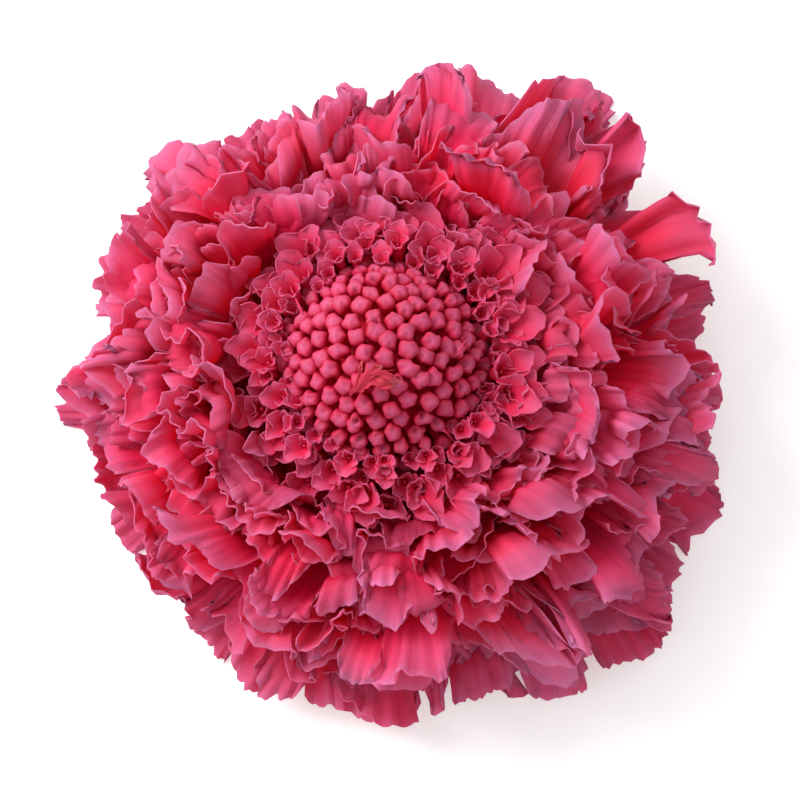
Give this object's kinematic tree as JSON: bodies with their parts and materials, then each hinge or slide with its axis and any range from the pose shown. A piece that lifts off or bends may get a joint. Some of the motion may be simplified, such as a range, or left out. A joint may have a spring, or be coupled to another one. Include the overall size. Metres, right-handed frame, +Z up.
{
  "type": "scabiosa flower head",
  "caption": "Cut scabiosa flower head lying on its back: a dome of closed buds, small opening florets, whorls of ruffled ray florets, leafy bracts and a short stem stub.",
  "frame": {"origin": "on the surface the head rests on, under the middle of its outline", "axes": "+Z up along the flower's axis, from the cut stub to the bud dome; -Y towards the picture's lower edge, +X to its right"},
  "size_m": [0.0606, 0.0602, 0.0268],
  "materials": {
    "stem": "matt dyed stem and calyx, dusky reddish olive",
    "bract": "matt dry leaf, dusky reddish olive",
    "bud": "matt waxy dusky pink closed buds",
    "opening_petal": "matt waxy pink small lobes",
    "petal": "thin matt translucent rose-pink petal with paler edges and crimson folds"
  },
  "bodies": {
    "root": {"receptacle": "stem", "closed_buds": "bud", "bract_01": "bract", "bract_02": "bract", "bract_03": "bract", "bract_04": "bract", "bract_05": "bract", "bract_06": "bract", "bract_07": "bract", "bract_08": "bract", "outer_floret_01": "petal", "outer_floret_02": "petal", "outer_floret_03": "petal", "outer_floret_04": "petal", "outer_floret_05": "petal", "outer_floret_06": "petal", "outer_floret_07": "petal", "outer_floret_08": "petal", "outer_floret_09": "petal", "outer_floret_10": "petal", "outer_floret_11": "petal", "outer_floret_12": "petal", "lower_floret_01": "petal", "lower_floret_02": "petal", "lower_floret_03": "petal", "lower_floret_04": "petal", "lower_floret_05": "petal", "lower_floret_06": "petal", "lower_floret_07": "petal", "lower_floret_08": "petal", "lower_floret_09": "petal", "lower_floret_10": "petal", "lower_floret_11": "petal", "upper_floret_01": "petal", "upper_floret_02": "petal", "upper_floret_03": "petal", "upper_floret_04": "petal", "upper_floret_05": "petal", "upper_floret_06": "petal", "upper_floret_07": "petal", "upper_floret_08": "petal", "upper_floret_09": "petal", "upper_floret_10": "petal", "inner_floret_01": "petal", "inner_floret_02": "petal", "inner_floret_03": "petal", "inner_floret_04": "petal", "inner_floret_05": "petal", "inner_floret_06": "petal", "inner_floret_07": "petal", "inner_floret_08": "petal", "opening_floret_01": "opening_petal", "opening_floret_02": "opening_petal", "opening_floret_03": "opening_petal", "opening_floret_04": "opening_petal", "opening_floret_05": "opening_petal", "opening_floret_06": "opening_petal", "opening_floret_07": "opening_petal", "opening_floret_08": "opening_petal", "opening_floret_09": "opening_petal"}
  },
  "joints": []
}
